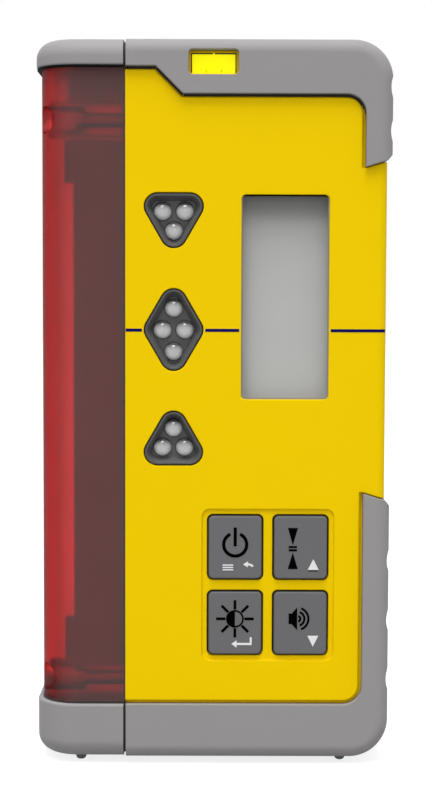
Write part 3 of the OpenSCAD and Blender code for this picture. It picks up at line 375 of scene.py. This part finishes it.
window_plastic = tinted_window()
light_resin = light_dome()
lens_plastic = clear_lens()
display_grey = display_glass("display_grey", "lcd_panel_front")
rear_display_grey = display_glass("rear_display_grey", "lcd_panel_rear")
vial_plastic = fluorescent_painted_glow()
vial_fluid_finish = vial_liquid()
board_green = board_mask()
# Black ink of the legends, also used for painted shadows: the display cover's top rim and the bar under
# the up sign.
black_ink_and_painted_shadow = printed("black_ink_and_painted_shadow", tone(5, 5, 5))
white_ink = printed("white_ink", tone(236, 236, 236))
navy_ink = printed("navy_ink", tone(17, 14, 92))
# Grey ink of the display cover's rim, partly print and partly painted shade in the gap at the opening's
# edge.
rim_ink_and_gap_shade = printed("rim_ink_and_gap_shade", tone(150, 150, 142))
mark_ink = printed("mark_ink", tone(196, 186, 0))

NODE_FINISHES = [
    (yellow_plastic, ["front_shell", "rear_shell", "battery_door"]),
    (boot_rubber, ["top_boot", "bottom_boot"]),
    (cap_plastic, ["window_cap_top", "window_cap_bottom"]),
    (window_plastic, ["sensor_window"]),
    (seal_rubber, ["case_seal", "battery_door_seal"]),
    # The keypad's and the window's seals take the darkest rubber, which also paints the shade in the
    # gaps round the keys and along the window's seam.
    (gasket_rubber_and_painted_shade, ["keypad_seal", "window_seal"]),
    (black_steel, ["window_screws"]),
    (steel, ["case_screws", "board_screws", "rear_board_screws", "dome_switches",
             "battery_contacts", "battery_door_pin"]),
    (holder_plastic, ["sensor_holder"]),
    (board_green, ["sensor_board", "main_board", "rear_display_board"]),
    (chip_plastic, ["board_chips", "buzzer"]),
    (diode_resin, ["photodiodes"]),
    (ribbon_film, ["sensor_ribbon", "display_ribbon"]),
    (bezel_plastic, ["led_bezel_upper", "led_bezel_centre", "led_bezel_lower"]),
    (light_resin, ["leds_upper", "leds_centre", "leds_lower"]),
    (lens_plastic, ["lcd_lens_front", "lcd_lens_rear"]),
    (display_grey, ["lcd_panel_front"]),
    (rear_display_grey, ["lcd_panel_rear"]),
    (frame_plastic, ["lcd_holder_front"]),
    (key_rubber, ["key_power", "key_deadband", "key_brightness", "key_volume"]),
    (vial_plastic, ["vial_block", "vial_end_plugs"]),
    (vial_fluid_finish, ["vial_fluid"]),
    (vent_cloth, ["sound_membrane"]),
    (brass, ["clamp_insert"]),
    (cell_wrap, ["battery_cell_left", "battery_cell_right"]),
    (foot_rubber, ["feet"]),
]
for finish, names in NODE_FINISHES:
    for name in names:
        nodes[name].data.materials.clear()
        nodes[name].data.materials.append(finish)


# Modelling tools

def deselect():
    bpy.ops.object.select_all(action="DESELECT")


def middle(node):
    low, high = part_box(node)
    return (low + high) / 2


def pick(piece, kind, test):
    """In edit mode, selects the vertices, edges or faces of a piece that pass a test."""
    bpy.ops.mesh.select_mode(type=kind)
    bpy.ops.mesh.select_all(action="DESELECT")
    mesh = bmesh.from_edit_mesh(piece.data)
    for item in {"VERT": mesh.verts, "EDGE": mesh.edges, "FACE": mesh.faces}[kind]:
        item.select_set(test(item))
    mesh.select_flush_mode()
    bmesh.update_edit_mesh(piece.data)


def apply_place():
    bpy.ops.object.transform_apply(location=True, rotation=True, scale=True)


def apply_modifier(piece, kind, **settings):
    modifier = piece.modifiers.new(kind.lower(), kind)
    for name, value in settings.items():
        setattr(modifier, name, value)
    bpy.ops.object.modifier_apply(modifier=modifier.name)


class Print:
    """Flat shapes on one plane that faces the front. Places are in millimetres from its middle:
    across to the right, and up."""

    def __init__(self, centre):
        self.centre = centre
        self.shapes = []

    def spot(self, across, up):
        return self.centre + Vector((across, 0, up)) * MM

    def keep(self, scale=(1, 1), turn=0):
        """Sizes and turns the new primitive, clockwise in degrees, and applies its place."""
        shape = bpy.context.active_object
        shape.rotation_euler = (math.pi / 2, math.radians(turn), 0)
        shape.scale = (scale[0] * MM, scale[1] * MM, 1)
        apply_place()
        self.shapes.append(shape)
        return shape

    def bar(self, across, up, width, height, turn=0):
        deselect()
        bpy.ops.mesh.primitive_plane_add(size=1, location=self.spot(across, up))
        return self.keep((width, height), turn)

    def triangle(self, across, up, width, height, turn=0):
        """Triangle that stands on the middle of its base, and points upwards when it isn't turned."""
        deselect()
        way = math.radians(turn)
        at = self.spot(across + math.sin(way) * height / 3, up + math.cos(way) * height / 3)
        bpy.ops.mesh.primitive_circle_add(vertices=3, radius=1, fill_type="NGON", location=at)
        self.keep((width / math.sqrt(3), height / 1.5), turn)

    def ring(self, across, up, radius, stroke, keep_angle):
        """Ring, or the part of it that a test on the clockwise angle from the top keeps."""
        deselect()
        at = self.spot(across, up)
        bpy.ops.mesh.primitive_circle_add(vertices=72, radius=1, fill_type="NGON", location=at)
        shape = self.keep((radius, radius))
        bpy.ops.object.mode_set(mode="EDIT")
        bpy.ops.mesh.select_all(action="SELECT")
        bpy.ops.mesh.inset(thickness=stroke * MM)
        bpy.ops.mesh.delete(type="FACE")

        def outside(face):
            way = face.calc_center_median() - at
            return not keep_angle(math.degrees(math.atan2(way.x, way.z)))
        pick(shape, "FACE", outside)
        bpy.ops.mesh.delete(type="FACE")
        bpy.ops.object.mode_set(mode="OBJECT")

    def half_disc(self, across, up, radius):
        """The left half of a disc."""
        deselect()
        at = self.spot(across, up)
        bpy.ops.mesh.primitive_circle_add(vertices=48, radius=1, fill_type="NGON", location=at)
        self.keep((radius, radius))
        bpy.ops.object.mode_set(mode="EDIT")
        bpy.ops.mesh.select_all(action="SELECT")
        bpy.ops.mesh.bisect(plane_co=at, plane_no=(1, 0, 0), clear_outer=True)
        bpy.ops.object.mode_set(mode="OBJECT")

    def cone(self, across, up, width, low_height, high_height):
        """Shape that widens to the right, as a loudspeaker's cone."""
        shape = self.bar(across, up, width, low_height)
        side = self.spot(across, up)
        bpy.ops.object.mode_set(mode="EDIT")
        pick(shape, "VERT", lambda vertex: vertex.co.x > side.x)
        bpy.ops.transform.resize(value=(1, 1, high_height / low_height), center_override=side)
        bpy.ops.object.mode_set(mode="OBJECT")

    def finish(self, name, ink, slot, body, sunk=0.02, proud=0.05):
        """Joins the shapes, gives them the thickness of the ink, and sets them on a body."""
        deselect()
        for shape in self.shapes:
            shape.select_set(True)
        piece = self.shapes[0]
        bpy.context.view_layer.objects.active = piece
        if len(self.shapes) > 1:
            bpy.ops.object.join()
        piece.name = name
        piece.data.name = name
        bpy.ops.object.mode_set(mode="EDIT")
        bpy.ops.mesh.select_all(action="SELECT")
        bpy.ops.transform.translate(value=-FRONT * sunk * MM)
        bpy.ops.object.mode_set(mode="OBJECT")
        apply_modifier(piece, "SOLIDIFY", thickness=(sunk + proud) * MM, offset=1.0)
        dress(piece, ink, body)


def dress(piece, finish, body):
    """Gives a finished piece its material, and sets it on a body."""
    piece.data.materials.clear()
    piece.data.materials.append(finish)
    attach(piece, body)


# Key legends, in millimetres from the middle of a key. The white signs stand right of it

SIGN_X = 3.02


def key_face(node):
    """The middle of a key's front face."""
    low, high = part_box(node)
    return Vector(((low.x + high.x) / 2, low.y, (low.z + high.z) / 2))


def power_legend():
    black = Print(key_face("key_power"))
    half_gap = 26
    black.ring(0, 0.67, 3.1, 0.78, lambda angle: abs(angle) > half_gap)
    black.bar(0, 2.5, 0.76, 4.46)
    black.finish("legend_power", black_ink_and_painted_shadow, "key_rubber", "key_power")
    white = Print(key_face("key_power"))
    menu_up, menu_pitch = -4.75, 0.56
    for row in (-1, 0, 1):
        white.bar(-1.7, menu_up + row * menu_pitch, 2.5, menu_pitch / 2)
    white.triangle(SIGN_X, -4.03, 1.45, 1.15, -90)
    white.ring(3.03, -5.5, 1.75, 0.5, lambda angle: 0 < angle < 52)
    white.finish("legend_menu", white_ink, "key_rubber", "key_power")


def deadband_legend():
    black = Print(key_face("key_deadband"))
    column = -1.82
    black.triangle(column, 4.65, 2.35, 4.1, 180)
    for line_up in (0.12, -0.64):
        black.bar(column, line_up, 1.95, 0.5)
    black.triangle(column, -5.1, 2.35, 3.92)
    # Painted shadow: a dark bar under the white up sign, as the sign's drop shadow.
    black.bar(SIGN_X, -5.53, 2.4, 0.24)
    black.finish("legend_deadband", black_ink_and_painted_shadow, "key_rubber", "key_deadband")
    white = Print(key_face("key_deadband"))
    white.triangle(SIGN_X, -5.3, 2.6, 2.55)
    white.finish("legend_up", white_ink, "key_rubber", "key_deadband")


def brightness_legend():
    black = Print(key_face("key_brightness"))
    sun_up = 1.0
    black.ring(0, sun_up, 2.1, 0.4, lambda angle: True)
    black.half_disc(0, sun_up, 1.69)
    ray_middle, ray_w, ray_l = 3.34, 0.64, 2.2
    for turn in range(0, 360, 45):
        angle = math.radians(turn)
        across = ray_middle * math.sin(angle)
        black.bar(across, sun_up + ray_middle * math.cos(angle), ray_w, ray_l, turn)
    black.finish("legend_brightness", black_ink_and_painted_shadow, "key_rubber", "key_brightness")
    white = Print(key_face("key_brightness"))
    arrow_up = -5.0
    white.bar(2.2, arrow_up, 3.56, 0.52)
    white.bar(3.75, -4.05, 0.46, 1.36)
    white.triangle(0.41, arrow_up, 1.75, 1.25, -90)
    white.finish("legend_enter", white_ink, "key_rubber", "key_brightness")


def volume_legend():
    black = Print(key_face("key_volume"))
    horn_up, box_h = 1.04, 2.5
    black.bar(-2.35, horn_up, 0.74, box_h)
    black.cone(-1.34, horn_up, 1.28, box_h, 5.5)
    wave_x, wave_w = -0.68, 0.52
    for radius in (0.98, 1.94, 2.9):
        black.ring(wave_x, horn_up, radius, wave_w, lambda angle: 22 < angle < 158)
    black.finish("legend_volume", black_ink_and_painted_shadow, "key_rubber", "key_volume")
    white = Print(key_face("key_volume"))
    white.triangle(3.03, -3.0, 2.6, 2.62, 180)
    white.finish("legend_down", white_ink, "key_rubber", "key_volume")


power_legend()
deadband_legend()
brightness_legend()
volume_legend()


# Grade line

LINE_W = 0.72 * MM
LINE_GAP = 0.45 * MM
LINE_DROP = 0.12 * MM
BEZEL_FLANGE = 1.2 * MM
LENS_LAP = 1.5 * MM
PANEL_EDGE = 1.95 * MM
LINE_INSET = 0.1 * MM
LINE_WRAP = 60

shell_low, shell_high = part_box("front_shell")
bezel_low, bezel_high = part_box("led_bezel_centre")
lens_low, lens_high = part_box("lcd_lens_front")
grade_z = (bezel_low.z + bezel_high.z) / 2 - LINE_DROP


def grade_strip(name, left, right, wrap=0):
    """A strip of the line on the panel, from left to right, and round the panel's edge by some
    degrees."""
    strip = Print(Vector(((left + right) / 2, shell_low.y, grade_z)))
    shape = strip.bar(0, 0, (right - left) / MM, LINE_W / MM)
    if wrap:
        bpy.ops.object.mode_set(mode="EDIT")
        pick(shape, "EDGE", lambda edge: all(vertex.co.x > right - LINE_W for vertex in edge.verts))
        bpy.ops.mesh.spin(
            steps=8, angle=-math.radians(wrap), axis=(0, 0, 1),
            center=(right, shell_low.y + PANEL_EDGE, grade_z))
        bpy.ops.mesh.select_all(action="SELECT")
        bpy.ops.mesh.remove_doubles(threshold=0.001 * MM)
        bpy.ops.object.mode_set(mode="OBJECT")
    strip.finish(name, navy_ink, "yellow_housing", "housing")


bezel_left = bezel_low.x + BEZEL_FLANGE - LINE_GAP
bezel_right = bezel_high.x - BEZEL_FLANGE + LINE_GAP
lens_left = lens_low.x + LENS_LAP - LINE_GAP
lens_right = lens_high.x - LENS_LAP + LINE_GAP
grade_strip("grade_line_left", shell_low.x + LINE_INSET, bezel_left)
grade_strip("grade_line_middle", bezel_right, lens_left)
grade_strip("grade_line_right", lens_right, shell_high.x - PANEL_EDGE, LINE_WRAP)


# Rim of the display cover, partly print and partly painted shade: black along the top as painted shadow
# under the opening's top edge, pale grey on the other sides as the shade in the gap

RIM_W = 0.35
THIN_INK = 0.02
cover_face = Vector((middle("lcd_lens_front").x, lens_low.y, middle("lcd_lens_front").z))
open_w = (lens_high.x - lens_low.x - 2 * LENS_LAP) / MM
open_h = (lens_high.z - lens_low.z - 2 * LENS_LAP) / MM
top_rim_shadow = Print(cover_face)
top_rim_shadow.bar(0, (open_h - RIM_W) / 2, open_w, RIM_W)
top_rim_shadow.finish("display_rim_top_shadow", black_ink_and_painted_shadow, "display_lens", "housing", proud=THIN_INK)
low_rim = Print(cover_face)
low_rim.bar(0, (RIM_W - open_h) / 2, open_w, RIM_W)
for side in (-1, 1):
    low_rim.bar(side * (open_w - RIM_W) / 2, 0, RIM_W, open_h - 2 * RIM_W)
low_rim.finish("display_rim", rim_ink_and_gap_shade, "display_lens", "housing", proud=THIN_INK)


# Painted shadow: dark bands where the window enters its caps, in the shade that the caps cast

WINDOW_R = 8.75 * MM
WINDOW_SHADOW_T = 0.15 * MM
WINDOW_SHADOW_H = 0.45 * MM
TOP_SHADOW_REACH = 1.1 * MM


def window_shadow_band(name, low_z, high_z, reach, shadow_finish):
    """A thin dark band of painted shadow round the front, the left side and the back of the window,
    which reaches outwards.
    """
    low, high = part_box("sensor_window")
    deselect()
    bpy.ops.mesh.primitive_cube_add(size=1, location=((low.x + high.x) / 2, 0, (low_z + high_z) / 2))
    gasket = bpy.context.active_object
    gasket.name = name
    gasket.data.name = name
    gasket.scale = (high.x - low.x, high.y - low.y, high_z - low_z)
    apply_place()
    bpy.ops.object.mode_set(mode="EDIT")
    pick(gasket, "EDGE", lambda edge: all(vertex.co.x < low.x + WINDOW_SHADOW_T for vertex in edge.verts)
         and abs(edge.verts[0].co.z - edge.verts[1].co.z) > WINDOW_SHADOW_T)
    bpy.ops.mesh.bevel(offset=WINDOW_R, segments=20, affect="EDGES")
    pick(gasket, "FACE", lambda face: abs(face.normal.z) > 0.5 or face.normal.x > 0.5)
    bpy.ops.mesh.delete(type="FACE")
    bpy.ops.object.mode_set(mode="OBJECT")
    apply_modifier(gasket, "SOLIDIFY", thickness=reach, offset=1.0)
    bpy.ops.object.shade_smooth_by_angle(angle=math.radians(30))
    dress(gasket, shadow_finish, "housing")


cap_top_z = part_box("window_cap_top")[0].z
cap_bottom_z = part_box("window_cap_bottom")[1].z
window_shadow_band("window_shadow_top", cap_top_z - WINDOW_SHADOW_H, cap_top_z, TOP_SHADOW_REACH, painted_shadow_black)
window_shadow_band("window_shadow_bottom", cap_bottom_z, cap_bottom_z + WINDOW_SHADOW_H, WINDOW_SHADOW_T, gasket_rubber_and_painted_shade)


# Painted shadow: a dark strip in the groove under the top boot's edge, where the boot casts shade, in
# millimetres from the boot's top left corner

EDGE_SHADOW_W = 0.55
EDGE_SHADOW_T = 0.3
STEP_BAND, STEP_RUN = 6.4, 7.1
BOOT_BAND, ARM_W = 12.7, 6.4
CORNER_R = 4.5
# The strip narrows round the corner as the shade fades.
CORNER_PARTS = ((EDGE_SHADOW_W, 0, 60), (EDGE_SHADOW_W * 0.65, 60, 75), (EDGE_SHADOW_W * 0.35, 75, 90))
GROOVE_FLOOR = 2.5 * MM

boot_low, boot_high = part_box("top_boot")
arm_in = (boot_high.x - boot_low.x) / MM - ARM_W
drop = BOOT_BAND - STEP_BAND
mitre = EDGE_SHADOW_W * math.tan(math.radians(22.5))
edge_shadow = Print(Vector((boot_low.x, boot_low.y + GROOVE_FLOOR, boot_high.z)))
edge_shadow.bar((STEP_RUN - mitre) / 2, -STEP_BAND - EDGE_SHADOW_W / 2, STEP_RUN - mitre, EDGE_SHADOW_W)
slope_l = drop * math.sqrt(2) - mitre
slope_at = (slope_l / 2 + mitre) / math.sqrt(2)
inward = EDGE_SHADOW_W / 2 / math.sqrt(2)
edge_shadow.bar(STEP_RUN + slope_at - inward, -STEP_BAND - slope_at - inward, slope_l, EDGE_SHADOW_W, 45)
run_l = arm_in - CORNER_R - STEP_RUN - drop
edge_shadow.bar(STEP_RUN + drop + run_l / 2, -BOOT_BAND - EDGE_SHADOW_W / 2, run_l, EDGE_SHADOW_W)
for width, first, last in CORNER_PARTS:
    edge_shadow.ring(
        arm_in - CORNER_R, -BOOT_BAND - CORNER_R, CORNER_R, width, lambda angle: first < angle < last)
edge_shadow.finish("boot_edge_shadow", gasket_rubber_and_painted_shade, "dark_seal", "housing", proud=EDGE_SHADOW_T)


# Vial marks, and a dark strip of painted shadow round the vial, in the shade of its recess

MARK_X, MARK_UP = 1.75, -1.75
MARK_W, MARK_H = 0.22, 0.7
VIAL_SHADOW_W = 0.3
VIAL_SHADOW_T = 0.3
VIAL_NOTCH_W = 0.5

vial_low, vial_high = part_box("vial_block")
vial_face = Vector((middle("vial_block").x, vial_low.y, middle("vial_block").z))
marks = Print(vial_face)
for side in (-1, 1):
    marks.bar(side * MARK_X, MARK_UP, MARK_W, MARK_H)
marks.finish("vial_marks", mark_ink, "vial_body", "housing", proud=THIN_INK)

vial_w = (vial_high.x - vial_low.x) / MM
vial_h = (vial_high.z - vial_low.z) / MM
vial_shadow = Print(vial_face)
for side in (-1, 1):
    vial_shadow.bar(side * (vial_w + VIAL_SHADOW_W) / 2, 0, VIAL_SHADOW_W, vial_h)
    half_w = vial_w / 2 + VIAL_SHADOW_W - VIAL_NOTCH_W / 2
    vial_shadow.bar(side * (VIAL_NOTCH_W + half_w) / 2, (vial_h + VIAL_SHADOW_W) / 2, half_w, VIAL_SHADOW_W)
vial_shadow.finish("vial_shadow_strip", gasket_rubber_and_painted_shade, "dark_seal", "housing", sunk=VIAL_SHADOW_T, proud=0.0)


# Stage: floor, light and camera

FOCAL_PX = 1700.0
SENSOR_H = 24.0
PHOTO_H = 800.0
CAMERA_AT = Vector((-0.46, -414.26, 113.06)) * MM
YAW, PITCH, ROLL = -0.177, -3.799, 0.188
SEEN_RAYS = ("Is Camera Ray", "Is Transmission Ray", "Is Glossy Ray")
FLOOR_GLOW = (0.8, 0.55, 0.55)
AMBIENT = 0.65


def pale_floor():
    deselect()
    bpy.ops.mesh.primitive_plane_add(size=6)
    floor = bpy.context.active_object
    floor.name = "floor"
    finish = Finish("floor_white", roughness=0.9)
    cloud = finish.noise(3.0)
    finish.main(base_color=finish.blend(cloud, tone(158, 158, 158), tone(162, 162, 162)))
    seen = sum(
        finish.add("ShaderNodeLightPath", output=ray) * part for ray, part in zip(SEEN_RAYS, FLOOR_GLOW))
    glow = finish.add("ShaderNodeEmission", inputs={"Color": (1, 1, 1, 1), "Strength": seen})
    finish.surface("ShaderNodeAddShader", {0: finish.body(), 1: glow})
    floor.data.materials.append(finish.material)


def studio_world():
    world = bpy.data.worlds.new("studio")
    bpy.context.scene.world = world
    world.use_nodes = True
    tree = world.node_tree
    path = tree.nodes.new("ShaderNodeLightPath")
    white = path.outputs["Is Camera Ray"]
    for ray in SEEN_RAYS[1:]:
        either = tree.nodes.new("ShaderNodeMath")
        either.operation = "MAXIMUM"
        tree.links.new(white, either.inputs[0])
        tree.links.new(path.outputs[ray], either.inputs[1])
        white = either.outputs[0]
    level = tree.nodes.new("ShaderNodeMapRange")
    level.inputs["To Min"].default_value = AMBIENT
    level.inputs["To Max"].default_value = 1.0
    tree.links.new(white, level.inputs["Value"])
    tree.links.new(level.outputs[0], tree.nodes["Background"].inputs["Strength"])
    tree.nodes["Background"].inputs["Color"].default_value = (1, 1, 1, 1)


def softbox(name, at, target, size, power, spread=180):
    lamp = bpy.data.lights.new(name, "AREA")
    lamp.shape = "SQUARE"
    lamp.size = size
    lamp.energy = power
    lamp.spread = math.radians(spread)
    lamp_object = bpy.data.objects.new(name, lamp)
    bpy.context.scene.collection.objects.link(lamp_object)
    lamp_object.location = at
    lamp_object.rotation_euler = (Vector(target) - Vector(at)).to_track_quat("-Z", "Y").to_euler()


def studio_camera():
    camera = bpy.data.cameras.new("camera")
    camera.sensor_fit = "VERTICAL"
    camera.sensor_height = SENSOR_H
    camera.lens = FOCAL_PX / PHOTO_H * SENSOR_H
    camera.clip_start = 0.01
    camera_object = bpy.data.objects.new("camera", camera)
    bpy.context.scene.collection.objects.link(camera_object)
    turn = (Matrix.Rotation(math.radians(YAW), 4, "Z")
            @ Matrix.Rotation(math.radians(90 + PITCH), 4, "X")
            @ Matrix.Rotation(math.radians(ROLL), 4, "Z"))
    camera_object.matrix_world = Matrix.Translation(CAMERA_AT) @ turn
    bpy.context.scene.camera = camera_object


pale_floor()
studio_world()
softbox("key_light", at=(-0.1, -0.7, 2.2), target=(0, 0, 0.09), size=1.0, power=42.0)
softbox("front_light", at=(0, -0.9, 0.3), target=(0, 0, 0.02), size=0.2, power=0.012, spread=22)
softbox("glint_light", at=(-0.25, -0.75, 0.85), target=(0, 0, 0.09), size=0.05, power=0.9)
studio_camera()
bpy.context.scene.view_settings.view_transform = "Standard"
